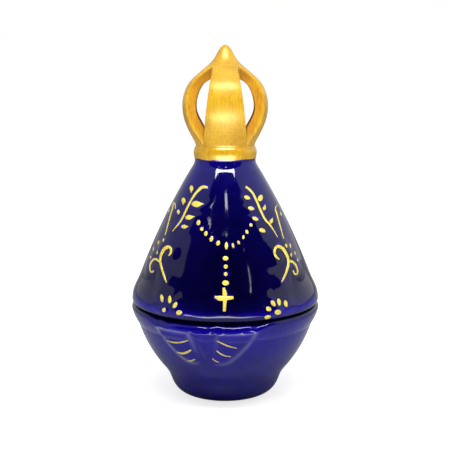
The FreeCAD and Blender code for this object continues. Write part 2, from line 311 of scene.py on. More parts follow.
def make_glaze(name, thin_lit_and_shaded_at, bottom, top, side_light=0.0):
    """Cobalt glaze, thin by the shares given at heights in mm, which also hold painted light and shade,
    and lighter at the sides by a painted light that the last argument sets.
    """
    material = bpy.data.materials.new(name)
    material.use_nodes = True
    tree = material.node_tree
    shader = tree.nodes["Principled BSDF"]
    place = add_node(tree, "ShaderNodeTexCoord").outputs["Object"]
    parts = add_node(tree, "ShaderNodeSeparateXYZ")
    tree.links.new(place, parts.inputs[0])
    mottle = add_node(tree, "ShaderNodeTexNoise", Scale=1 / (MOTTLE_SIZE * MM), Detail=4.0, Roughness=0.6)
    speck = add_node(tree, "ShaderNodeTexNoise", Scale=1 / (SPECK_SIZE * MM), Detail=2.0)
    for texture in (mottle, speck):
        tree.links.new(place, texture.inputs["Vector"])
    uneven = ease_node(tree, mottle.outputs["Fac"], *MOTTLE_SPAN, *MOTTLE_SHADE)
    grain = ease_node(tree, speck.outputs["Fac"], *SPECK_SPAN, *SPECK_SHADE)
    # Painted light: the glaze gets lighter towards the sides, as seen from the front.
    aside = math_node(tree, "ABSOLUTE", parts.outputs["X"])
    side_lit = ease_node(tree, aside, 0.0, SIDE_WIDTH * MM, 1.0, 1.0 + side_light)
    strength = math_node(tree, "MULTIPLY", math_node(tree, "MULTIPLY", uneven, grain), side_lit)
    grey = add_node(tree, "ShaderNodeCombineColor")
    for channel in grey.inputs:
        tree.links.new(strength, channel)
    tint = add_node(tree, "ShaderNodeMix", {"data_type": "RGBA", "blend_type": "MULTIPLY"}, Factor=1.0)
    colour = colour_by_height(tree, parts.outputs["Z"], thin_lit_and_shaded_at, bottom, top)
    tree.links.new(colour, tint.inputs[COLOUR_A])
    tree.links.new(grey.outputs["Color"], tint.inputs[COLOUR_B])
    tree.links.new(tint.outputs[COLOUR_OUT], shader.inputs["Base Color"])
    gloss = ease_node(tree, mottle.outputs["Fac"], *MOTTLE_SPAN, *GLAZE_GLOSS)
    tree.links.new(gloss, shader.inputs["Roughness"])
    shader.inputs["IOR"].default_value = GLAZE_IOR
    return material


print("mottling of", MOTTLE_SIZE, "mm and specks of", SPECK_SIZE, "mm")

# %% [markdown]
# In some places another colour lies over a finish: bare clay under the foot, pale edges on the wings,
# amber in the crown. One helper covers a material with a colour and a gloss of their own where a mask
# says so. The mask is any socket that goes from 0 to 1.

# %% Helper for painting over a finish
# The places of a Mix node's sockets for numbers.
NUMBER_A, NUMBER_B, NUMBER_OUT = 2, 3, 0


def paint_over(material, mask, colour, roughness):
    """Cover a material with a plain colour and gloss where the mask, a socket, reaches 1."""
    tree = material.node_tree
    shader = tree.nodes["Principled BSDF"]
    tint = add_node(tree, "ShaderNodeMix", {"data_type": "RGBA"})
    tree.links.new(mask, tint.inputs["Factor"])
    tree.links.new(shader.inputs["Base Color"].links[0].from_socket, tint.inputs[COLOUR_A])
    tint.inputs[COLOUR_B].default_value = colour
    tree.links.new(tint.outputs[COLOUR_OUT], shader.inputs["Base Color"])
    gloss = add_node(tree, "ShaderNodeMix", {"data_type": "FLOAT"})
    tree.links.new(mask, gloss.inputs["Factor"])
    tree.links.new(shader.inputs["Roughness"].links[0].from_socket, gloss.inputs[NUMBER_A])
    gloss.inputs[NUMBER_B].default_value = roughness
    tree.links.new(gloss.outputs[NUMBER_OUT], shader.inputs["Roughness"])


print("helper:", paint_over.__name__)

# %% [markdown]
# Gold lustre is a metal film that is brushed on and fired. On the crown it is satin, with fine
# upright brush streaks, and on the collar a little glossier. The streaks come from a noise that is
# squeezed sideways and stretched upwards, and the same noise drives the colour, the gloss and a very
# low bump. An image of brushed metal would need a flat map of the crown, and a noise needs none.

# %% Mix the gold lustre
GOLD_DEEP = (0.625, 0.303, 0.002, 1)
GOLD_BRIGHT = (0.935, 0.557, 0.020, 1)
DEEP_FILM, BRIGHT_FILM = 0.37, 0.61
STREAK_WIDTH, STREAK_LENGTH, STREAK_SHARE = 0.55, 14.0, 0.65
CLOUD_SIZE, CLOUD_SHARE = 9.0, 0.35
SATIN_SPAN, SATIN_ROUGH = (0.3, 0.7), (0.42, 0.32)
BURNISHED_Z, BURNISHED = (133.0, 138.0), 0.62
LUSTRE_METAL, LUSTRE_SHEEN = 0.22, 0.95
STREAK_BUMP, STREAK_HEIGHT = 0.6, 0.06


def between_heights(tree, height, levels, low, high):
    """A smooth step of a height socket between two levels in mm; returns its output socket."""
    return ease_node(tree, height, levels[0] * MM, levels[1] * MM, low, high)


def make_lustre():
    """Brushed gold lustre; returns the material, and the sockets of its height and of its film."""
    material = bpy.data.materials.new("brushed_gold_lustre")
    material.use_nodes = True
    tree = material.node_tree
    shader = tree.nodes["Principled BSDF"]
    place = add_node(tree, "ShaderNodeTexCoord").outputs["Object"]
    parts = add_node(tree, "ShaderNodeSeparateXYZ")
    tree.links.new(place, parts.inputs[0])
    height = parts.outputs["Z"]
    squeeze = add_node(tree, "ShaderNodeMapping")
    squeeze.inputs["Scale"].default_value = (
        1 / (STREAK_WIDTH * MM), 1 / (STREAK_WIDTH * MM), 1 / (STREAK_LENGTH * MM))
    tree.links.new(place, squeeze.inputs["Vector"])
    streak = add_node(tree, "ShaderNodeTexNoise", Scale=1.0, Detail=3.0, Roughness=0.65)
    tree.links.new(squeeze.outputs["Vector"], streak.inputs["Vector"])
    cloud = add_node(tree, "ShaderNodeTexNoise", Scale=1 / (CLOUD_SIZE * MM), Detail=3.0)
    tree.links.new(place, cloud.inputs["Vector"])
    brushed = math_node(tree, "MULTIPLY", streak.outputs["Fac"], STREAK_SHARE)
    patchy = math_node(tree, "MULTIPLY", cloud.outputs["Fac"], CLOUD_SHARE)
    film = math_node(tree, "ADD", brushed, patchy)
    shade = two_tone(tree, film, DEEP_FILM, GOLD_DEEP, BRIGHT_FILM, GOLD_BRIGHT)
    tree.links.new(shade, shader.inputs["Base Color"])
    burnished = between_heights(tree, height, BURNISHED_Z, BURNISHED, 1.0)
    satin = ease_node(tree, film, *SATIN_SPAN, *SATIN_ROUGH)
    tree.links.new(math_node(tree, "MULTIPLY", satin, burnished), shader.inputs["Roughness"])
    shader.inputs["Metallic"].default_value = LUSTRE_METAL
    shader.inputs["Specular IOR Level"].default_value = LUSTRE_SHEEN
    bump = add_node(tree, "ShaderNodeBump", Strength=STREAK_BUMP, Distance=STREAK_HEIGHT * MM)
    tree.links.new(streak.outputs["Fac"], bump.inputs["Height"])
    tree.links.new(bump.outputs["Normal"], shader.inputs["Normal"])
    return material, height, film


gold_lustre, lustre_height, lustre_film = make_lustre()
print("lustre:", gold_lustre.name)

# %% [markdown]
# Behind the straps the lustre gets a painted shade. It is amber there, with darker patches where the
# film's noise is low, and darker still up in the corners under the tip. A value named "hollow" on the
# crown's vertices, which a later step sets, says where that is. Further down, the lustre ends on the
# glaze in a wavy line.

# %% Paint shade on the lustre in the hollow and end it in a wavy line
# Colours of the painted shade in the crown's hollow.
GOLD_HOLLOW_SHADE = (0.72, 0.31, 0.000, 1)
GOLD_SHADE = (0.34, 0.13, 0.000, 1)
HOLLOW_ROUGH, SHADE_ROUGH, BARE_ROUGH = 0.40, 0.35, 0.06
AMBER_FILM, AMBER_LEAST = (0.46, 0.66), 0.35
SHADE_PATCH_FILM, SHADE_PATCH_MOST = (0.36, 0.52), 0.5
CORNER_Z, CORNER_SHADE_MOST = (163.0, 174.0), 0.75
LUSTRE_EDGE, LUSTRE_EDGE_SOFT = 127.4, 0.15
EDGE_WAVE, EDGE_WAVE_LENGTH = 0.9, 9.0
BARE_THINNESS = 0.3


def shade_hollow(material, height, film):
    """Paint amber shade over the lustre where the crown is hollow, darker in patches and up in the top
    corners.
    """
    tree = material.node_tree
    hollow = add_node(tree, "ShaderNodeAttribute", {"attribute_name": "hollow"}).outputs["Fac"]
    # Painted shade in the hollow: amber, darker in patches and up in the top corners.
    amber = ease_node(tree, film, *AMBER_FILM, 1.0, AMBER_LEAST)
    paint_over(material, math_node(tree, "MULTIPLY", hollow, amber), GOLD_HOLLOW_SHADE, HOLLOW_ROUGH)
    shade_patches = ease_node(tree, film, *SHADE_PATCH_FILM, SHADE_PATCH_MOST, 0.0)
    corner = between_heights(tree, height, CORNER_Z, 0.0, CORNER_SHADE_MOST)
    dark = math_node(tree, "MAXIMUM", shade_patches, corner)
    paint_over(material, math_node(tree, "MULTIPLY", hollow, dark), GOLD_SHADE, SHADE_ROUGH)


def end_lustre(material, height):
    """Leave the glaze bare below a wavy line round the collar."""
    tree = material.node_tree
    place = add_node(tree, "ShaderNodeTexCoord").outputs["Object"]
    edge = add_node(tree, "ShaderNodeTexNoise", Scale=1 / (EDGE_WAVE_LENGTH * MM), Detail=3.0)
    tree.links.new(place, edge.inputs["Vector"])
    swing = math_node(tree, "SUBTRACT", edge.outputs["Fac"], 0.5)
    wave = math_node(tree, "MULTIPLY", swing, 2 * EDGE_WAVE * MM)
    level = math_node(tree, "ADD", height, wave)
    line = (LUSTRE_EDGE - LUSTRE_EDGE_SOFT, LUSTRE_EDGE + LUSTRE_EDGE_SOFT)
    bare = between_heights(tree, level, line, 1.0, 0.0)
    paint_over(material, bare, glaze_colour(BARE_THINNESS), BARE_ROUGH)


shade_hollow(gold_lustre, lustre_height, lustre_film)
end_lustre(gold_lustre, lustre_height)
print("lustre nodes:", len(gold_lustre.node_tree.nodes))

# %% [markdown]
# The brushwork on the glaze is gold of another kind: a thick paint with little shine. Its colour is
# cloudy, pale in some places and deeper in others, as the brush left more or less of it. One noise
# gives both the colour and the gloss.

# %% Mix the gold for the brushwork
PAINT_DEEP = (0.86, 0.58, 0.045, 1)
PAINT_PALE = (1.00, 0.88, 0.17, 1)
PAINT_DEEP_AT, PAINT_PALE_AT = 0.30, 0.58
PAINT_CLOUD = 1.6
PAINT_SPAN, PAINT_ROUGH = (0.3, 0.7), (0.50, 0.34)
PAINT_METAL = 0.25


def make_brush_gold():
    """Raised gold paint, cloudy in colour and satin in gloss."""
    material = bpy.data.materials.new("brush_gold")
    material.use_nodes = True
    tree = material.node_tree
    shader = tree.nodes["Principled BSDF"]
    place = add_node(tree, "ShaderNodeTexCoord").outputs["Object"]
    cloud = add_node(tree, "ShaderNodeTexNoise", Scale=1 / (PAINT_CLOUD * MM), Detail=3.0)
    tree.links.new(place, cloud.inputs["Vector"])
    shade = two_tone(tree, cloud.outputs["Fac"], PAINT_DEEP_AT, PAINT_DEEP, PAINT_PALE_AT, PAINT_PALE)
    tree.links.new(shade, shader.inputs["Base Color"])
    satin = ease_node(tree, cloud.outputs["Fac"], *PAINT_SPAN, *PAINT_ROUGH)
    tree.links.new(satin, shader.inputs["Roughness"])
    shader.inputs["Metallic"].default_value = PAINT_METAL
    return material


brush_gold = make_brush_gold()
print("brushwork:", brush_gold.name)

# %% [markdown]
# Round ware is turned on a wheel, and in Blender it is spun: half of its section is drawn as a line
# and carried once round the axis. The outlines are written as a few corners with smooth bends
# between them, as a turner's template would be.

# %% Helpers for outlines
def bend(start, corner, end, steps):
    """Points of a smooth bend from start to end that heads for the corner; start is left out."""
    points = []
    for step in range(1, steps + 1):
        t = step / steps
        points.append(tuple(a * (1 - t) ** 2 + 2 * b * t * (1 - t) + c * t * t
                            for a, b, c in zip(start, corner, end)))
    return points


def bowed(start, end, bow, steps):
    """A bend whose middle stands bow to the right of the straight way from start to end."""
    run, climb = end[0] - start[0], end[1] - start[1]
    length = math.hypot(run, climb)
    corner = ((start[0] + end[0]) / 2 + 2 * bow * climb / length,
              (start[1] + end[1]) / 2 - 2 * bow * run / length)
    return bend(start, corner, end, steps)


def smooth_line(stations, steps, leave=None, arrive=None):
    """A smooth line through the stations, with steps points to each span."""
    points = [Vector(station) for station in stations]
    slopes = []
    for before, here, after in zip(points[:1] + points, points, points[1:] + points[-1:]):
        slopes.append((after - before) / ((after - here).length + (here - before).length))
    slopes[0] = Vector(leave).normalized() if leave else slopes[0]
    slopes[-1] = Vector(arrive).normalized() if arrive else slopes[-1]
    line = [tuple(points[0])]
    for a, b, slope_a, slope_b in zip(points, points[1:], slopes, slopes[1:]):
        reach = (b - a).length / 3
        span = interpolate_bezier(a, a + slope_a * reach, b - slope_b * reach, b, steps + 1)
        line += [tuple(point) for point in span[1:]]
    return line


print("a bend in two steps:", bend((0, 0), (1, 0), (1, 1), 2))

# %% [markdown]
# A circle primitive gives an outline its points, and each point is then set in its place on the
# outline. Where the outline starts and ends on the axis, the edge that closes it is deleted. The Spin
# operator carries the line round, and after it doubles are merged and the faces turned outwards.

# %% Helpers for spinning an outline
MERGE_GAP = 0.001
SMOOTH_ANGLE = math.radians(40)


def deselect():
    """Leave edit mode and select nothing, so that an operator touches only what comes next."""
    if bpy.context.mode != "OBJECT":
        bpy.ops.object.mode_set(mode="OBJECT")
    bpy.ops.object.select_all(action="DESELECT")


def select_only(piece):
    """Select one piece alone and make it the active one."""
    deselect()
    piece.select_set(True)
    bpy.context.view_layer.objects.active = piece


def face_outwards(piece):
    """Turn all faces of a piece to the outside."""
    select_only(piece)
    bpy.ops.object.mode_set(mode="EDIT")
    bpy.ops.mesh.select_all(action="SELECT")
    bpy.ops.mesh.normals_make_consistent(inside=False)
    bpy.ops.object.mode_set(mode="OBJECT")


def spin_outline(name, outline, steps):
    """Turn an outline of (radius, height) points in mm once round the pot's axis."""
    deselect()
    bpy.ops.mesh.primitive_circle_add(vertices=len(outline))
    piece = bpy.context.object
    piece.name = name
    piece.data.name = name
    for vertex, (radius, height) in zip(piece.data.vertices, outline):
        vertex.co = (radius * MM, 0, height * MM)
    bpy.ops.object.mode_set(mode="EDIT")
    if outline[0][0] == 0 and outline[-1][0] == 0:
        bpy.ops.mesh.select_all(action="DESELECT")
        section = bmesh.from_edit_mesh(piece.data)
        for edge in section.edges:
            edge.select = all(vertex.co.x == 0 for vertex in edge.verts)
        section.select_flush_mode()
        bpy.ops.mesh.delete(type="EDGE_FACE")
    bpy.ops.mesh.select_all(action="SELECT")
    bpy.ops.mesh.spin(steps=steps, angle=math.tau, center=(0, 0, 0), axis=(0, 0, 1))
    bpy.ops.mesh.select_all(action="SELECT")
    bpy.ops.mesh.remove_doubles(threshold=MERGE_GAP * MM)
    bpy.ops.mesh.normals_make_consistent(inside=False)
    bpy.ops.object.mode_set(mode="OBJECT")
    bpy.ops.object.shade_smooth_by_angle(angle=SMOOTH_ANGLE)
    print(name, "has", len(piece.data.polygons), "faces")
    return piece


print("doubles nearer than", MERGE_GAP, "mm are merged")

# %% [markdown]
# The bowl and its foot are one glazed skin: the potter lutes the foot on, and the glaze runs over
# the join. The outline starts under the floor, goes round the foot, up the bellied wall, over the
# rim and down inside. Its rows lie close together on the wall, because the wings are raised there.

# %% Turn the bowl on its foot
FOOT_INNER, FOOT_OUTER = 14.2, 19.2
FOOT_ROUNDING_END = (29.2, 6.9)
FOOT_CORNER = (26.6, 0)
FOOT_HOLLOW_RADIUS, FOOT_HOLLOW_BOW = 26.17, 1.2
JOIN_START, JOIN_CORNER = (30.4, 10.05), (31.4, FOOT_TOP - 0.3)
WALL_START, WALL_CORNER = (34.04, 15.82), (42.93, 26.36)
BEAD_START = (47.0, 39.7)
BEAD_TOP, BEAD_BOW = (RIM_RADIUS, 47.6), 0.45
RIM_ROUND = 2.2
MOUTH_RADIUS, MOUTH_ROUND, MOUTH_DEPTH = 44.0, 0.8, 41.0
BOWL_FLOOR, BOWL_INSIDE_BOW = (21.0, 17.5), 2.6
BOWL_AROUND, WALL_STEPS, RIM_STEPS = 600, 50, 14

bowl_line = [(0, FOOT_TOP), (FOOT_HOLLOW_RADIUS, FOOT_TOP)]
bowl_line += bowed(bowl_line[-1], (FOOT_INNER, 0), FOOT_HOLLOW_BOW, 8)
bowl_line += [(FOOT_OUTER, 0)]
bowl_line += bend(bowl_line[-1], FOOT_CORNER, FOOT_ROUNDING_END, 14)
bowl_line += [JOIN_START]
bowl_line += bend(JOIN_START, JOIN_CORNER, WALL_START, 8)
bowl_line += bend(WALL_START, WALL_CORNER, BEAD_START, WALL_STEPS)
rim = bowed(BEAD_START, BEAD_TOP, BEAD_BOW, RIM_STEPS)
rim += bend(BEAD_TOP, (RIM_RADIUS, RIM_TOP), (RIM_RADIUS - RIM_ROUND, RIM_TOP), RIM_STEPS)
bowl_line += rim
bowl_line += [(MOUTH_RADIUS + MOUTH_ROUND, RIM_TOP)]
bowl_line += bend(bowl_line[-1], (MOUTH_RADIUS, RIM_TOP), (MOUTH_RADIUS, RIM_TOP - MOUTH_ROUND), 4)
bowl_line += [(MOUTH_RADIUS, MOUTH_DEPTH)]
bowl_line += bowed(bowl_line[-1], BOWL_FLOOR, BOWL_INSIDE_BOW, 20)
bowl_line += [(0, BOWL_FLOOR[1])]
bowl = spin_outline("bowl", bowl_line, BOWL_AROUND)

# %% [markdown]
# Two wings stand out on the bowl's front, with a small wedge between their inner edges. They are
# pressed relief, softened by the glaze. They could be pieces laid on the wall, but then a hard line
# would show round them, so they are raised out of the bowl's own skin. Each vertex of the wall asks
# how far it lies inside a wing's outline, and moves outwards by a smooth step of that distance.

# %% Helpers for raised outlines
def inside_by(outline, place):
    """How far a point lies inside a closed outline, in mm; negative when it lies outside."""
    x, z = place
    nearest, inside = 1e9, False
    for (x0, z0), (x1, z1) in zip(outline, outline[1:] + outline[:1]):
        run, climb = x1 - x0, z1 - z0
        t = max(0.0, min(1.0, ((x - x0) * run + (z - z0) * climb) / (run * run + climb * climb)))
        nearest = min(nearest, math.hypot(x - x0 - t * run, z - z0 - t * climb))
        if (z0 > z) != (z1 > z) and x < x0 + run * (z - z0) / climb:
            inside = not inside
    return nearest if inside else -nearest


def ease(value, low, high):
    """A smooth step from 0 at low to 1 at high."""
    t = max(0.0, min(1.0, (value - low) / (high - low)))
    return t * t * (3 - 2 * t)


print("a smooth step, a quarter of the way up:", ease(0.25, 0, 1))

# %% [markdown]
# The outline of the right wing is drawn as seen from the front of the wings, and the left one is its
# mirror image. Above them the rim is rolled over in a rounder bend, so it gets an outline of its own
# there, row for row.

# %% Draw the wings and the rolled rim
WING_TOP = 45.2
ROLL_TOP, ROLL_END, ROLL_BOW = (50.45, 45.0), (46.4, 48.8), 0.5

wing = [(7.4, WING_TOP), (25.8, WING_TOP)]
wing += bowed(wing[-1], (12.8, 29.2), -0.9, 10)
wing += bend(wing[-1], (10.2, 26.7), (5.8, 26.5), 6)
wing += bend(wing[-1], (2.4, 26.6), (2.0, 29.6), 5)
wing += bowed(wing[-1], wing[0], 0.75, 8)[:-1]
wedge = [(-5.6, WING_TOP)] + bend((-5.6, WING_TOP), (-0.4, 31.0), (0.0, 30.2), 6)
wedge += bend(wedge[-1], (0.4, 31.0), (5.6, WING_TOP), 6)
rolled = bowed(BEAD_START, ROLL_TOP, ROLL_BOW, RIM_STEPS)
rolled += bend(ROLL_TOP, (ROLL_TOP[0], ROLL_END[1]), ROLL_END, RIM_STEPS)
rolled_row = {(round(r, 2), round(z, 2)): place for (r, z), place in zip(rim, rolled)}
print("wing of", len(wing), "points, rolled rim of", len(rolled_row), "rows")

# %% [markdown]
# The wings face a little to the left of the pot's painted front, as the lid has been turned. The rolled
# rim is a little wavy, as a rim finished by hand is, and a low noise gives it that. Each vertex also gets
# a value that is high along the wings' edges, higher on the left wing. The glaze reads it later: glaze
# runs thin over an edge, and a pale painted highlight lies there too, stronger on the left, where more
# light falls.

# %% Raise the wings out of the bowl's wall
WING_TURN = math.radians(-13)
WING_RELIEF, WING_SPREAD = 1.5, (0, 15)
WEDGE_RELIEF = 0.8
EDGE_OUT, EDGE_IN = -1.4, 1.1
FRONT_LOW, FRONT_WIDTH, FRONT_EASE = 20, 34, 9
INNER_WALL, INNER_WALL_TOP = 1.02 * MOUTH_RADIUS, 47
RIM_WAVE, RIM_WAVE_LENGTH, RIM_WAVE_Z = 0.7, 7.0, (41, 46)
EDGE_LIGHT_WIDTH, EDGE_LIGHT_SPREAD = 1.15, (2, 12)
EDGE_LIGHT_LEFT, EDGE_LIGHT_RIGHT = 0.30, 0.11

unturn = Matrix.Rotation(-WING_TURN, 3, "Z")
raised = 0
edge_highlight = bowl.data.attributes.new("edge_highlight", "FLOAT", "POINT")
for vertex, lit_edge in zip(bowl.data.vertices, edge_highlight.data):
    local = unturn @ vertex.co
    x, z, radius = local.x / MM, local.z / MM, local.xy.length / MM
    outer_wall = local.y < 0 and FRONT_LOW < z and radius > INNER_WALL - max(0, INNER_WALL_TOP - z)
    if not outer_wall or abs(x) > FRONT_WIDTH:
        continue
    share = ease(FRONT_WIDTH - abs(x), 0, FRONT_EASE)
    new_radius, new_z = rolled_row.get((round(radius, 2), round(z, 2)), (radius, z))
    wave = share * RIM_WAVE * noise.noise(vertex.co / (RIM_WAVE_LENGTH * MM)) * ease(new_z, *RIM_WAVE_Z)
    new_radius = radius + (new_radius - radius) * share - abs(wave)
    new_z = z + (new_z - z) * share + wave
    rise = 0
    if new_z < ROLL_TOP[1]:
        inside = inside_by(wing, (abs(x), new_z))
        rise = WING_RELIEF * ease(inside, EDGE_OUT, EDGE_IN) * ease(abs(x), *WING_SPREAD)
        rise = max(rise, WEDGE_RELIEF * ease(inside_by(wedge, (x, new_z)), EDGE_OUT, EDGE_IN))
        # Painted highlight along the wings' edges, stronger on the left wing.
        side = (EDGE_LIGHT_LEFT if x < 0 else EDGE_LIGHT_RIGHT) * ease(abs(x), *EDGE_LIGHT_SPREAD)
        lit_edge.value = side * math.exp(-(inside / EDGE_LIGHT_WIDTH) ** 2)
        new_radius = min(new_radius + rise, max(new_radius, ROLL_TOP[0]))
    vertex.co.xy *= new_radius / radius
    vertex.co.z = new_z * MM
    raised += rise > 0
print("wings raised on", raised, "vertices")

# %% [markdown]
# The lid is spun the same way: a rounded lip, a slightly bellied cone, and a short neck under the
# crown. Inside it is a plain hollow that is closed at the foot of the neck.

# %% Turn the lid
LIP_INNER, LIP_FLAT = 40.4, 45.8
LIP_EDGE = (50.25, 52.6)
LIP_STATIONS = [LIP_EDGE, (49.6, 56.7), (48.3, 59.9), (46.9, 62.8)]
CONE_START = (45.1, 67.0)
CONE_RISE, CONE_BOW, CONE_STEPS = (-0.39, 1), 1.3, 80
NECK_START, NECK_CORNER = (18.3, 121.6), (16.2, 124.6)
NECK_RADIUS = 16.1
LID_AROUND = 480
LEDGE = (43.8, 55.8)
HOLLOW_TOP, HOLLOW_BOW = (13.6, 120.9), 1.6

lid_line = [(0, HOLLOW_TOP[1]), HOLLOW_TOP]
lid_line += bowed(lid_line[-1], LEDGE, HOLLOW_BOW, 30)
lid_line += [(LIP_INNER, LID_BOTTOM), (LIP_FLAT, LID_BOTTOM)]
lid_line += bend(lid_line[-1], (LIP_EDGE[0], LID_BOTTOM), LIP_EDGE, 10)
lid_line += smooth_line(LIP_STATIONS + [CONE_START], 6, (0, 1), CONE_RISE)[1:]
lid_line += bowed(CONE_START, NECK_START, CONE_BOW, CONE_STEPS)
lid_line += bend(NECK_START, NECK_CORNER, (NECK_RADIUS, LID_TOP), 12)
lid_line += [(0, LID_TOP)]
lid = spin_outline("lid", lid_line, LID_AROUND)

# %% [markdown]
# Under the lid a low ring drops into the bowl's mouth and keeps the lid centred. Its lower edge is
# eased, so that it finds its way in.

# %% Turn the seat ring
RING_INNER, RING_OUTER = 40.4, 43.2
RING_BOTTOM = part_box("lid_flange")[0].z / MM
RING_EASE = 1.0
RING_AROUND = 180

ring_line = [(RING_INNER, LID_BOTTOM), (RING_INNER, RING_BOTTOM + RING_EASE)]
ring_line += bend(ring_line[-1], (RING_INNER, RING_BOTTOM), (RING_INNER + RING_EASE, RING_BOTTOM), 5)
ring_line += [(RING_OUTER - RING_EASE, RING_BOTTOM)]
ring_line += bend(ring_line[-1], (RING_OUTER, RING_BOTTOM), (RING_OUTER, RING_BOTTOM + RING_EASE), 5)
ring_line += [(RING_OUTER, LID_BOTTOM)]
seat_ring = spin_outline("seat_ring", ring_line, RING_AROUND)

# %% [markdown]
# Now the three glazed pieces get their glaze. The heights say where it runs thin: along the lid's top and
# lip, and on the bowl's bead under the rim. The same heights carry painted light and shade: the lid's top
# and lip are lighter partly by painted light, and painted shade makes the glaze nearly black in the seam
# where the lid's lip sits on the bowl's rim. The bowl is also darker towards its foot, and the lid is
# lighter towards its sides by painted light. Along the wings' edges the glaze runs thin and a pale
# painted highlight lies on it, stronger on the left wing, and beside the lid's brushwork the glaze shows
# a bright blue fringe. Values on the vertices say where: one on the bowl, and "halo" on the lid, which a
# later step sets. The ring that the pot stands on is wiped clean before firing, so the bare clay shows
# there.

# %% Glaze the bowl, the lid and the seat ring
BOWL_SPAN, LID_SPAN = (0, 50), (49, 127)
# The bowl's glaze is darker towards the foot, and nearly black at the rim's top, which is painted shade
# in the seam under the lid.
BOWL_THIN_AND_SHADED = [(0, 0.30), (6, 0.36), (12, 0.38), (22, 0.40), (32, 0.47), (40, 0.54), (45, 0.48),
             (47.5, 0.36), (49, 0.12), (49.8, 0.03)]
# The lid's glaze is nearly black under the lip, which is painted shade in the seam, and lighter towards
# the top, which is thin glaze and painted light together.
LID_THIN_LIT_AND_SHADED = [(49.8, 0.02), (51.2, 0.04), (53.5, 0.22), (57, 0.03), (62, 0.004), (77, 0.010), (95, 0.042),
            (107, 0.075), (118, 0.15), (126.4, 0.21)]
LID_SIDE_LIGHT = 1.6
CLAY, CLAY_ROUGH = (0.62, 0.50, 0.38, 1), 0.8
WIPED_Z = (0.1, 0.35)
PALE_EDGE_LIGHT, PALE_EDGE_LIGHT_ROUGH = (0.80, 0.78, 0.95, 1), 0.06
HALO, HALO_ROUGH = 0.40, 0.05

bowl_glaze = make_glaze("bowl_glaze", BOWL_THIN_AND_SHADED, *BOWL_SPAN)
lid_glaze = make_glaze("lid_glaze", LID_THIN_LIT_AND_SHADED, *LID_SPAN, LID_SIDE_LIGHT)
tree = bowl_glaze.node_tree
parts = add_node(tree, "ShaderNodeSeparateXYZ")
tree.links.new(add_node(tree, "ShaderNodeTexCoord").outputs["Object"], parts.inputs[0])
wiped = between_heights(tree, parts.outputs["Z"], WIPED_Z, 1.0, 0.0)
paint_over(bowl_glaze, wiped, CLAY, CLAY_ROUGH)
# A pale painted highlight along the wings' edges, where the glaze also runs thin.
edges = add_node(tree, "ShaderNodeAttribute", {"attribute_name": "edge_highlight"})
paint_over(bowl_glaze, edges.outputs["Fac"], PALE_EDGE_LIGHT, PALE_EDGE_LIGHT_ROUGH)
tree = lid_glaze.node_tree
fringe = add_node(tree, "ShaderNodeAttribute", {"attribute_name": "halo"})
paint_over(lid_glaze, math_node(tree, "MULTIPLY", fringe.outputs["Fac"], HALO), THIN_GLAZE, HALO_ROUGH)
bowl.data.materials.append(bowl_glaze)
lid.data.materials.append(lid_glaze)
seat_ring.data.materials.append(bowl_glaze)
print("glazed:", bowl.name, lid.name, seat_ring.name)

# %% [markdown]
# The painter's marks are of two kinds: lines drawn with a loaded brush, and dabs set down and
# lifted. Each is first modelled flat, as seen from the front, and then laid on the glaze. A line is
# a curve with a round bevel that swells and tapers. A dab is a sphere drawn out to a point at one
# end. Laying one down keeps its place as seen from the front and sends it back along Y until it
# meets the glaze.

# %% Helper for brush lines
LINE_BODY = 0.30
# Half a millimetre, so that the radius of a curve's point is the width of the line in mm.
LINE_BEVEL = 0.5


def brush_line(knots):
    """A flat brush line through knots of (x, z, width) in mm, as a mesh object."""
    deselect()
    bpy.ops.curve.primitive_bezier_curve_add(location=(0, 0, 0))
    line = bpy.context.object
    line.data.resolution_u = 8
    line.data.bevel_depth = LINE_BEVEL * MM
    line.data.bevel_resolution = 3
    line.data.use_fill_caps = True
    spline = line.data.splines[0]
    spline.bezier_points.add(len(knots) - len(spline.bezier_points))
    for point, (x, z, width) in zip(spline.bezier_points, knots):
        point.co = (x * MM, 0, z * MM)
        point.handle_left_type = "AUTO"
        point.handle_right_type = "AUTO"
        point.radius = width
    bpy.ops.object.convert(target="MESH")
    line = bpy.context.object
    for vertex in line.data.vertices:
        vertex.co.y *= LINE_BODY
    return line


print("a line is", LINE_BODY, "times as thick as it is wide")

# %% [markdown]
# A dab is modelled once as a pattern, blunt or pointed, and each dab of a motif is a copy of it with
# a mesh of its own.

# %% Helpers for brush dabs
DAB_BODY = 0.26
POINTED, BLUNT = 0.75, 0.15
POINT_SPAN = (-0.3, 1.0)


def model_dab(point):
    """One brush dab two units long and wide, with its end at +X drawn out by point, from 0 to 1."""
    deselect()
    bpy.ops.mesh.primitive_uv_sphere_add(segments=18, ring_count=12, radius=1)
    dab = bpy.context.object
    bpy.ops.object.mode_set(mode="EDIT")
    bpy.ops.mesh.select_all(action="SELECT")
    bpy.ops.transform.rotate(value=math.pi / 2, orient_axis="Y", center_override=(0, 0, 0))
    bpy.ops.object.mode_set(mode="OBJECT")
    for vertex in dab.data.vertices:
        slim = 1 - point * ease(vertex.co.x, *POINT_SPAN)
        vertex.co.y *= slim
        vertex.co.z *= slim
    return dab


def brush_dab(pattern, x, z, length, width, lean):
    """A copy of the pattern dab at (x, z) mm, length long, its point leaning lean degrees from +X."""
    dab = pattern.copy()
    dab.data = pattern.data.copy()
    bpy.context.collection.objects.link(dab)
    size = Matrix.Diagonal((length / 2 * MM, DAB_BODY * width / 2 * MM, width / 2 * MM, 1))
    turn = Matrix.Rotation(-math.radians(lean), 4, "Y")
    dab.data.transform(Matrix.Translation((x * MM, 0, z * MM)) @ turn @ size)
    return dab


pointed_dab = model_dab(POINTED)
round_dab = model_dab(BLUNT)
print("pattern dabs of", len(pointed_dab.data.polygons), "faces")

# %% [markdown]
# The marks of one motif are joined into one piece. The painting as a whole sits a little to the left
# of the pot's axis, and the brush leaves marks a little slimmer than they are drawn here, so one
# function shifts and slims them all.

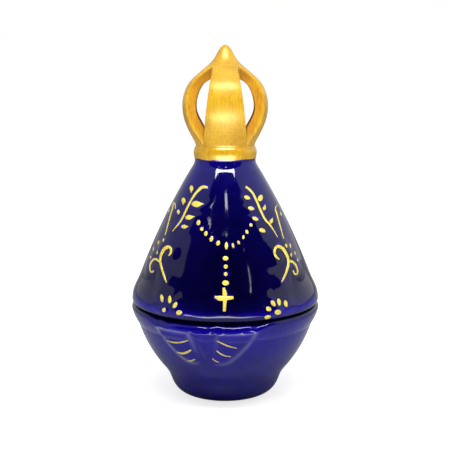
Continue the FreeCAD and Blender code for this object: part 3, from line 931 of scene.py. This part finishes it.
# %% Helpers for a whole motif
PAINT_SHIFT = -0.7
LINE_LOAD, LEAF_LOAD, BEAD_LOAD = 0.72, 0.92, 0.80


def join_marks(name, marks):
    """Join flat brush marks into one piece."""
    select_only(marks[0])
    for mark in marks:
        mark.select_set(True)
    if len(marks) > 1:
        bpy.ops.object.join()
    piece = bpy.context.object
    piece.name = name
    piece.data.name = name
    face_outwards(piece)
    bpy.ops.object.shade_smooth()
    piece.data.materials.clear()
    piece.data.materials.append(brush_gold)
    print(name, "has", len(marks), "marks and", len(piece.data.polygons), "faces")
    return piece


def draw(name, lines, leaves=(), beads=(), shift=PAINT_SHIFT):
    """Model a motif flat: lines of knots, pointed leaves and round beads, all in mm from the front."""
    marks = [brush_line([(x + shift, z, width * LINE_LOAD) for x, z, width in knots]) for knots in lines]
    for x, z, length, width, lean in leaves:
        marks.append(brush_dab(pointed_dab, x + shift, z, length * LEAF_LOAD, width * LEAF_LOAD, lean))
    for x, z, length, width, lean in beads:
        marks.append(brush_dab(round_dab, x + shift, z, length * BEAD_LOAD, width * BEAD_LOAD, lean))
    return join_marks(name, marks)


print("paint shift:", PAINT_SHIFT, "mm")

# %% [markdown]
# On each side a leafy sprig hangs from near the neck. Its stem is one long line, and its leaves are
# dabs that the brush drew out to a point.

# %% Draw the two sprigs
sprig_left = draw(
    "sprig_left",
    [[(-8.2, 114.0, 1.5), (-11.0, 113.9, 2.0), (-13.5, 111.8, 1.6), (-16.7, 107.4, 1.3),
      (-19.3, 102.4, 1.4), (-21.8, 97.4, 1.2), (-26.4, 91.5, 0.4)]],
    [(-16.8, 112.4, 4.0, 2.1, -95), (-20.9, 106.2, 3.7, 2.5, -95), (-23.5, 100.8, 2.6, 1.9, -95),
     (-13.3, 105.8, 7.0, 3.4, 5), (-17.2, 99.3, 5.6, 2.6, 14), (-19.8, 94.6, 4.2, 2.1, 8)])
sprig_right = draw(
    "sprig_right",
    [[(11.2, 114.3, 1.5), (14.1, 111.8, 1.4), (16.6, 107.4, 1.5), (18.5, 103.1, 1.6),
      (21.0, 98.1, 1.4), (23.6, 95.1, 1.2), (27.5, 88.9, 0.4)]],
    [(20.9, 103.6, 3.0, 2.0, 75), (24.5, 97.0, 3.2, 2.0, 62)],
    [(18.8, 108.2, 3.8, 3.4, 60), (11.9, 109.0, 4.0, 2.3, -22), (13.9, 103.8, 4.1, 2.2, -18),
     (16.0, 98.8, 4.2, 2.2, -24), (19.5, 93.0, 4.4, 2.4, -25)])

# %% [markdown]
# Between the sprigs hangs a string of beads in a loop, with a drop of beads and a small cross at its
# end. Every bead is one dab.

# %% Draw the string of beads and its drop
bead_string = draw(
    "bead_string", [], [],
    [(-12.8, 97.1, 3.2, 2.5, 70), (-11.1, 94.2, 2.4, 2.2, 60), (-9.0, 92.2, 2.9, 2.3, 72),
     (-6.2, 89.8, 3.4, 2.3, 68), (-2.8, 87.9, 3.0, 2.4, 65), (1.3, 86.7, 4.2, 2.2, 88),
     (4.6, 86.7, 2.9, 1.6, -72), (7.4, 88.1, 2.2, 1.6, -60), (9.8, 90.5, 2.4, 1.6, 85),
     (11.6, 92.9, 2.6, 1.9, -60), (13.7, 96.0, 2.2, 2.0, -40)])
bead_drop = draw(
    "bead_drop",
    [[(-0.1, 67.2, 1.7), (0.4, 64.8, 3.2), (0.6, 62.6, 3.0), (0.4, 59.6, 2.4), (0.3, 56.4, 2.0)],
     [(-4.4, 62.9, 1.3), (-2.2, 62.4, 3.3), (0.4, 62.4, 3.4), (2.6, 62.5, 2.5), (4.7, 62.6, 1.8)]],
    [],
    [(0.9, 80.8, 3.6, 2.7, 0), (1.0, 77.0, 2.6, 2.4, 0), (1.0, 73.5, 2.4, 2.3, 0),
     (0.9, 69.4, 4.2, 3.1, 0)])

# %% [markdown]
# Nearer the sides there is a thin hooked stalk with a scatter of dots. The brush was nearly empty
# there, so the lines and dots are thinner.

# %% Draw the stalks with their dots
stalk_left = draw(
    "stalk_left",
    [[(-25.2, 102.0, 0.6), (-25.9, 104.2, 0.9), (-27.0, 101.4, 0.9), (-29.2, 93.6, 0.9),
      (-30.4, 88.8, 0.5)]],
    [(-29.0, 100.0, 2.2, 0.6, 72)],
    [(-31.2, 86.5, 2.2, 1.0, 70), (-34.2, 84.4, 2.4, 1.0, 70), (-37.0, 80.6, 2.0, 0.8, 75),
     (-34.5, 80.1, 2.2, 1.0, 75), (-38.2, 76.8, 1.8, 0.8, 75)])
stalk_right = draw(
    "stalk_right",
    [[(27.8, 103.2, 0.6), (27.0, 102.4, 1.0), (27.6, 99.4, 1.0), (28.9, 94.4, 1.0), (30.8, 87.6, 0.6)]],
    [(29.9, 98.9, 2.6, 0.7, 110)],
    [(32.1, 84.1, 2.6, 1.2, -68), (34.5, 83.3, 2.8, 0.9, -75), (37.0, 79.3, 2.0, 0.8, -75),
     (34.7, 79.3, 2.4, 1.1, -80), (38.3, 75.9, 1.8, 0.8, -75)])

# %% [markdown]
# Below each stalk is a scroll like a shepherd's crook with a small curl beside it. Both are lines
# with many knots, because a round turn needs a knot at least every quarter.

# %% Draw the scrolls and curls
scroll_left = draw(
    "scroll_left",
    [[(-28.1, 80.0, 0.9), (-26.9, 81.8, 1.5), (-27.3, 83.9, 2.0), (-29.2, 83.7, 2.2), (-31.6, 80.9, 2.0),
      (-32.6, 77.3, 1.7), (-31.5, 73.4, 1.7), (-30.2, 70.3, 1.6), (-28.8, 67.4, 0.6)],
     [(-32.9, 76.4, 1.5), (-35.2, 76.9, 1.4), (-37.4, 75.2, 1.2), (-38.4, 72.2, 1.1),
      (-37.4, 70.5, 1.0), (-35.9, 71.5, 0.7)]])
scroll_right = draw(
    "scroll_right",
    [[(28.0, 78.6, 0.9), (26.1, 80.6, 1.5), (25.7, 82.6, 1.8), (26.7, 84.5, 2.0), (29.2, 83.9, 2.1),
      (31.7, 80.7, 2.0), (33.0, 76.6, 1.9), (32.0, 72.9, 1.9), (30.6, 70.2, 1.6), (29.0, 67.8, 0.5)],
     [(33.9, 76.9, 1.6), (36.1, 75.2, 1.4), (37.7, 72.4, 1.2), (37.7, 70.1, 1.1), (36.3, 70.2, 1.0),
      (35.4, 72.2, 0.7)]])

# %% [markdown]
# By the lip on each side is a flower of five or six dabs, set down in a loose ring.

# %% Draw the dabbed flowers by the lip
flower_left = draw(
    "flower_left", [], [],
    [(-31.1, 59.9, 4.2, 2.2, -80), (-27.0, 60.1, 4.3, 2.3, 88), (-24.2, 57.9, 4.2, 2.4, 55),
     (-22.1, 54.6, 4.0, 3.0, 25), (-29.9, 54.7, 3.0, 2.2, 60)])
flower_right = draw(
    "flower_right", [], [],
    [(24.5, 58.8, 4.2, 2.4, -52), (27.5, 59.0, 4.2, 2.3, -76), (31.0, 57.7, 4.2, 2.3, -72),
     (22.2, 56.5, 3.6, 2.7, -32), (26.9, 54.3, 4.2, 3.2, -15), (21.7, 52.4, 4.2, 3.0, 5)])

# %% [markdown]
# To lay paint on glaze, each place of a flat drawing has to find the glaze behind it. Search trees do
# that quickly: one finds where a straight line meets a piece's faces, and another finds the nearest
# of many points.

# %% Helpers for finding places on the glaze
FRONT_REACH = 200.0


def read_surface(piece):
    """The piece's faces in a search tree, for finding where a straight line meets them."""
    bpy.context.view_layer.update()
    return BVHTree.FromObject(piece, bpy.context.evaluated_depsgraph_get())


def lay_point(surface, x, rise, z):
    """The point that stands rise over the surface where a straight line along Y meets it at (x, z)."""
    place, normal, _, _ = surface.ray_cast(Vector((x, -FRONT_REACH * MM, z)), Vector((0, 1, 0)))
    return place + normal * rise if place else None


def find_spots(mark, surface):
    """A search tree of the places on the surface that a flat mark will cover."""
    spots = [lay_point(surface, vertex.co.x, 0, vertex.co.z) for vertex in mark.data.vertices]
    spots = [spot for spot in spots if spot]
    found = KDTree(len(spots))
    for index, spot in enumerate(spots):
        found.insert(spot, index)
    found.balance()
    return found


lid_surface = read_surface(lid)
print("the glaze on the lid's front, in metres:", lay_point(lid_surface, 0, 0, CONE_START[1] * MM))

# %% [markdown]
# Under every mark the glaze swells, because it crept up against the paint. The swelling is at most a
# millimetre or so high, and it shows best in the reflections, whose edges bend round the marks. So
# the lid's skin is raised by a smooth hump near each mark, before the marks are laid on it. The value
# named "halo" is set here too: it is high in patches beside the marks.

# %% Swell the glaze under the marks
MARK_SWELLS = [
    (sprig_left, 0.55), (sprig_right, 0.55), (bead_string, 0.35), (bead_drop, 0.3),
    (stalk_left, 0.15), (stalk_right, 0.15), (scroll_left, 1.2), (scroll_right, 1.2),
    (flower_left, 0.9), (flower_right, 0.9)]
SWELL_REACH = 4.4
SWELL_TOP, SWELL_EASE = 112.0, 12.0
WAVE, WAVE_LENGTH = 0.05, 11.0
HALO_REACH, HALO_PATCH, HALO_NOISE = 0.95, 4.0, (0.0, 0.45)

lid_marks = [mark for mark, swell in MARK_SWELLS]
swelling = [(find_spots(mark, lid_surface), swell) for mark, swell in MARK_SWELLS]
normals = [vertex.normal.copy() for vertex in lid.data.vertices]
halo = lid.data.attributes.new("halo", "FLOAT", "POINT")
for vertex, normal, fringe in zip(lid.data.vertices, normals, halo.data):
    outside = LIP_EDGE[1] * MM < vertex.co.z < NECK_START[1] * MM and normal.xy.dot(vertex.co.xy) > 0
    if not outside or vertex.co.y > 0:
        continue
    flat, nearest = 1.0, 1e9
    fade = ease(SWELL_TOP - vertex.co.z / MM, 0, SWELL_EASE)
    for spots, swell in swelling:
        gap = spots.find(vertex.co)[2] / MM
        nearest = min(nearest, gap)
        flat *= 1 - fade * swell * math.exp(-(gap / SWELL_REACH) ** 2)
    patch = ease(noise.noise(vertex.co / (HALO_PATCH * MM)), *HALO_NOISE)
    fringe.value = patch * math.exp(-(nearest / HALO_REACH) ** 2)
    wave = WAVE * noise.noise(vertex.co / (WAVE_LENGTH * MM))
    vertex.co += normal * (1 - flat + wave) * MM
lid.data.update()
print("swelled the glaze under", len(lid_marks), "motifs")

# %% [markdown]
# With the glaze in its final shape, the marks are laid on it: every vertex keeps its place as seen
# from the front, and its depth becomes its height over the glaze.

# %% Lay the marks on the lid
def lay_on(piece, surface):
    """Lay a flat piece on a surface, as paint lies on glaze."""
    for vertex in piece.data.vertices:
        vertex.co = lay_point(surface, vertex.co.x, -vertex.co.y, vertex.co.z) or vertex.co
    face_outwards(piece)


lid_surface = read_surface(lid)
for mark in lid_marks:
    lay_on(mark, lid_surface)
print("laid", len(lid_marks), "motifs on the lid")

# %% [markdown]
# Each wing has three curved strokes, like the ribs of a feather. They are drawn and laid down as the
# lid's marks are. After them the pattern dabs have no more use, and are deleted.

# %% Draw the strokes on the wings
wing_strokes_left = draw(
    "wing_strokes_left",
    [[(-29.5, 38.1, 0.5), (-26.4, 37.8, 1.2), (-23.0, 38.3, 1.3), (-18.5, 40.0, 0.9)],
     [(-24.4, 32.3, 0.5), (-21.8, 32.0, 1.8), (-19.2, 33.0, 1.9), (-17.1, 34.6, 1.2)],
     [(-19.4, 27.4, 0.5), (-17.3, 27.9, 1.0), (-15.2, 29.0, 0.8)]], shift=0)
wing_strokes_right = draw(
    "wing_strokes_right",
    [[(-4.0, 41.0, 1.0), (0.4, 38.6, 1.2), (5.9, 36.8, 0.4)],
     [(-4.3, 35.1, 1.0), (-1.1, 32.8, 1.1), (2.9, 31.9, 0.5)],
     [(-6.4, 30.2, 0.9), (-4.9, 28.9, 0.9), (-3.1, 28.2, 0.5)]], shift=0)
wing_marks = [wing_strokes_left, wing_strokes_right]
bowl_surface = read_surface(bowl)
for mark in wing_marks:
    lay_on(mark, bowl_surface)
for pattern in (pointed_dab, round_dab):
    bpy.data.objects.remove(pattern)
print("laid", len(wing_marks), "motifs on the wings")

# %% [markdown]
# The crown is an open onion of four straps that rise from a collar, swell outwards and meet in a
# point. It could be built strap by strap, but the joins would show. So it is spun whole, as an outer
# and an inner skin with the same columns of faces. The columns are then slid sideways until each
# strap has its width, the columns between the straps are deleted, and the two skins are bridged
# round the openings.

# %% Draw the crown's two outlines
WALL_GAP_Z = (134.9, 175.1)
INNER_GAP_Z = (143.0, 168.3)
GAP_ROWS = 26
CROWN_STATIONS = [(15.7, 0.3), (19.45, 7.7), (21.8, 14.0), (22.6, 20.3), (21.75, 26.5), (18.8, 32.7),
                  (12.2, 38.9), (8.4, 42.0), (5.65, 45.1), (3.95, 48.2), (2.2, 50.9),
                  (0, CROWN_TOP - COLLAR_TOP)]
COLLAR_STATIONS = [(16.2, LID_TOP), (16.75, 129.4), (16.75, 131.5), (16.25, 132.9), (15.6, 133.9)]
INNER_FOOT = (11.5, COLLAR_TOP)
INNER_STATIONS = [INNER_FOOT, (14.7, 142.2), (17.95, 153.7), (14.3, 165.2), (7.2, 170.0), (0, 170.8)]
STRAP_RISE, TIP_RUN = (0.4, 1), (-1, 0)
COLLAR_RISE, COLLAR_END = (0.1, 1), (-0.5, 1)
TIP_ABOVE_GAP, TIP_EVERY = 0.3, 12
ROOF_ABOVE_GAP, ROOF_EVERY = 0.2, 8
INNER_MARGIN, INNER_ROWS = 2, 4


def radius_at(line, height):
    """The radius of a rising line at this height, in mm."""
    after = next(i for i, point in enumerate(line) if point[1] >= height)
    (r0, z0), (r1, z1) = line[after - 1], line[after]
    return r0 + (r1 - r0) * (height - z0) / (z1 - z0)


def rows_between(line, low, high, count):
    """Evenly spaced points of a rising line between two heights, both ends included."""
    heights = [low + (high - low) * index / (count - 1) for index in range(count)]
    return [(radius_at(line, height), height) for height in heights]


outer = smooth_line([(r, COLLAR_TOP + h) for r, h in CROWN_STATIONS], 24, STRAP_RISE, TIP_RUN)
inner = smooth_line(INNER_STATIONS, 40, STRAP_RISE, TIP_RUN)
outer_line = [(0, LID_TOP)] + smooth_line(COLLAR_STATIONS, 3, COLLAR_RISE, COLLAR_END)
outer_line += rows_between(outer, *WALL_GAP_Z, GAP_ROWS)
outer_line += [point for point in outer if point[1] > WALL_GAP_Z[1] + TIP_ABOVE_GAP][::TIP_EVERY]
outer_line += [outer[-1]]
inner_line = [(0, COLLAR_TOP), INNER_FOOT]
inner_line += rows_between(inner, COLLAR_TOP + INNER_MARGIN, INNER_GAP_Z[0] - INNER_MARGIN, INNER_ROWS)
inner_line += rows_between(inner, *INNER_GAP_Z, GAP_ROWS)
inner_line += [point for point in inner if point[1] > INNER_GAP_Z[1] + ROOF_ABOVE_GAP][::ROOF_EVERY]
inner_line += [inner[-1]]
print("crown rows:", len(outer_line), "outside and", len(inner_line), "inside")

# %% [markdown]
# A strap is widest at the collar, where it meets its neighbours, and narrows towards the tip. Its
# half width follows one curve through three heights. Each skin is spun with ten columns of faces to
# a strap and one to a gap, and every vertex is then turned about the axis to where the curve says.

# %% Spin the skins and slide their columns into straps
STRAP_HALF_WIDTHS = [(COLLAR_TOP, 11.2), (153.7, 9.6), (175.2, 6.2)]
STRAP_MEETING = math.radians(44.0)
TOUCHING = 0.01
STRAPS, STRAP_COLUMNS = 4, 10
QUARTER = math.tau / STRAPS
COLUMN = QUARTER / (STRAP_COLUMNS + 1)
CROWN_AROUND = STRAPS * (STRAP_COLUMNS + 1)


def strap_angle(radius, height):
    """Half of the angle that a strap covers at this radius and height, in mm."""
    (z0, w0), (z1, w1), (z2, w2) = STRAP_HALF_WIDTHS
    share = (height - z0) / (z2 - z0)
    middle = (z1 - z0) / (z2 - z0)
    curve = (w1 - w0 - (w2 - w0) * middle) / (middle * middle - middle)
    width = w0 + (w2 - w0 - curve) * share + curve * share * share
    return min(math.asin(min(1.0, width / radius)), STRAP_MEETING)


def slide_columns(skin, gap):
    """Turn each vertex about the axis so that the straps have their width between the gap's heights."""
    for vertex in skin.data.vertices:
        radius, height = vertex.co.xy.length / MM, vertex.co.z / MM
        if radius < TOUCHING:
            continue
        angle = math.atan2(vertex.co.y, vertex.co.x)
        strap = round(angle / QUARTER) * QUARTER
        opened = gap[0] - TOUCHING < height < gap[1] + TOUCHING
        half = strap_angle(radius, height) if opened else STRAP_MEETING
        turned = strap + (angle - strap) * half / (COLUMN * STRAP_COLUMNS / 2)
        vertex.co.xy = (radius * MM * math.cos(turned), radius * MM * math.sin(turned))


crown = spin_outline("crown", outer_line, CROWN_AROUND)
crown_hollow = spin_outline("crown_hollow", inner_line, CROWN_AROUND)
slide_columns(crown, WALL_GAP_Z)
slide_columns(crown_hollow, INNER_GAP_Z)

# %% [markdown]
# Now the columns between the straps are deleted from both skins, which leaves four openings in each.
# Their faces are selected in code, by the angle and the height of their middles.

# %% Open the gaps between the straps
GAP_MIDDLE = QUARTER / 2
GAP_SLACK = math.radians(0.3)


def gap_offset(place):
    """The angle between a place and the middle of the nearest gap."""
    angle = math.atan2(place.y, place.x) % QUARTER
    return abs(angle - GAP_MIDDLE)


def open_gaps(skin, gap):
    """Delete the faces of the gap columns between two heights."""
    select_only(skin)
    bpy.ops.object.mode_set(mode="EDIT")
    bpy.ops.mesh.select_all(action="DESELECT")
    mesh = bmesh.from_edit_mesh(skin.data)
    for face in mesh.faces:
        middle = face.calc_center_median()
        between = gap[0] < middle.z / MM < gap[1]
        face.select = between and gap_offset(middle) < GAP_SLACK
    bpy.ops.mesh.delete(type="FACE")
    bpy.ops.object.mode_set(mode="OBJECT")


open_gaps(crown, WALL_GAP_Z)
open_gaps(crown_hollow, INNER_GAP_Z)
print("skins:", len(crown.data.polygons), "and", len(crown_hollow.data.polygons), "faces")

# %% [markdown]
# The two skins become one mesh, and bridging joins each outer opening to the inner one behind it. The
# new faces are the cut sides of the straps. This is done a quarter at a time, so that no opening is
# joined to a wrong one.

# %% Bridge the skins round the openings
select_only(crown)
crown_hollow.select_set(True)
bpy.ops.object.join()
bpy.ops.object.mode_set(mode="EDIT")
for quarter in range(STRAPS):
    bpy.ops.mesh.select_all(action="DESELECT")
    mesh = bmesh.from_edit_mesh(crown.data)
    bpy.ops.mesh.select_mode(type="EDGE")
    for edge in mesh.edges:
        middle = (edge.verts[0].co + edge.verts[1].co) / 2
        here = int((math.atan2(middle.y, middle.x) % math.tau) / QUARTER) == quarter
        edge.select = edge.is_boundary and here
    bpy.ops.mesh.bridge_edge_loops()
face_outwards(crown)
print("crown:", len(crown.data.polygons), "faces")

# %% [markdown]
# A bevel rounds the straps' edges as a wet sponge rounds clay, and two levels of subdivision smooth the
# whole. Both are applied, so the mesh is what the picture shows.

# %% Soften the crown
STRAP_EDGE = 0.9
SHARP_ANGLE = math.radians(50)
SMOOTH_LEVELS = 2


def apply_modifier(piece, kind, **settings):
    """Add a modifier with these settings and apply it."""
    select_only(piece)
    bpy.ops.object.modifier_add(type=kind)
    modifier = piece.modifiers[-1]
    for name, value in settings.items():
        setattr(modifier, name, value)
    bpy.ops.object.modifier_apply(modifier=modifier.name)


apply_modifier(crown, "BEVEL", width=STRAP_EDGE * MM, segments=2, limit_method="ANGLE",
               angle_limit=SHARP_ANGLE, harden_normals=False)
apply_modifier(crown, "SUBSURF", levels=SMOOTH_LEVELS, render_levels=SMOOTH_LEVELS)
bpy.ops.object.shade_smooth()
crown.data.materials.clear()
crown.data.materials.append(gold_lustre)
print("crown:", len(crown.data.polygons), "faces after softening")

# %% [markdown]
# Inside the straps and along their edges the lustre gets an amber painted shade, which reaches further
# round the straps up in the corners under the tip. A value on every vertex tells the material where that
# is. It is 1 where the surface faces away from the outside and lies well inside the straps' rounded outer
# edge, and it fades out in the foot of each gap.

# %% Mark the crown's hollow
AMBER_DEPTH = (0.7, 1.9)
AMBER_FOOT = (138.5, 142.5)
AMBER_CORNER = (164, 170)
TURNED_FROM, TURNED_TO = 0.25, 0.55
CORNER_FROM, CORNER_TO = 0.35, 0.21

hollow = crown.data.attributes.new("hollow", "FLOAT", "POINT")
for vertex, value in zip(crown.data.vertices, hollow.data):
    strap = round(math.atan2(vertex.co.y, vertex.co.x) / QUARTER) * QUARTER
    level = vertex.normal.xy.normalized()
    outward = level.x * math.cos(strap) + level.y * math.sin(strap)
    height = vertex.co.z / MM
    if not WALL_GAP_Z[0] < height < WALL_GAP_Z[1]:
        continue
    # Up in the corners under the tip the painted shade reaches further round the straps.
    corner = ease(height, *AMBER_CORNER)
    turned_away = 1 - ease(outward, TURNED_FROM + CORNER_FROM * corner, TURNED_TO + CORNER_TO * corner)
    depth = radius_at(outer, height) - vertex.co.xy.length / MM
    value.value = turned_away * ease(depth, *AMBER_DEPTH) * ease(height, *AMBER_FOOT)
print("amber on", sum(value.value > 0.5 for value in hollow.data), "vertices")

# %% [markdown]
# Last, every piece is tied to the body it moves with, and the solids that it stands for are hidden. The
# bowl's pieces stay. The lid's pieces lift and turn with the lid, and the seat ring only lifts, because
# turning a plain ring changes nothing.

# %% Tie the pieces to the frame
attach(bowl, "bowl")
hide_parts("bowl_shell", "foot_ring", "relief_wing_left", "relief_wing_right")
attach(lid, "lid")
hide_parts("lid_cone")
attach(seat_ring, "lid_seat")
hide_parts("lid_flange")
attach(crown, "lid")
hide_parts("crown_collar", "crown_arch_front", "crown_arch_right", "crown_arch_back",
            "crown_arch_left", "crown_tip")
for mark in lid_marks:
    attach(mark, "lid")
for mark in wing_marks:
    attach(mark, "bowl")
print("tied:", len([bowl, lid, seat_ring, crown] + lid_marks + wing_marks), "pieces")
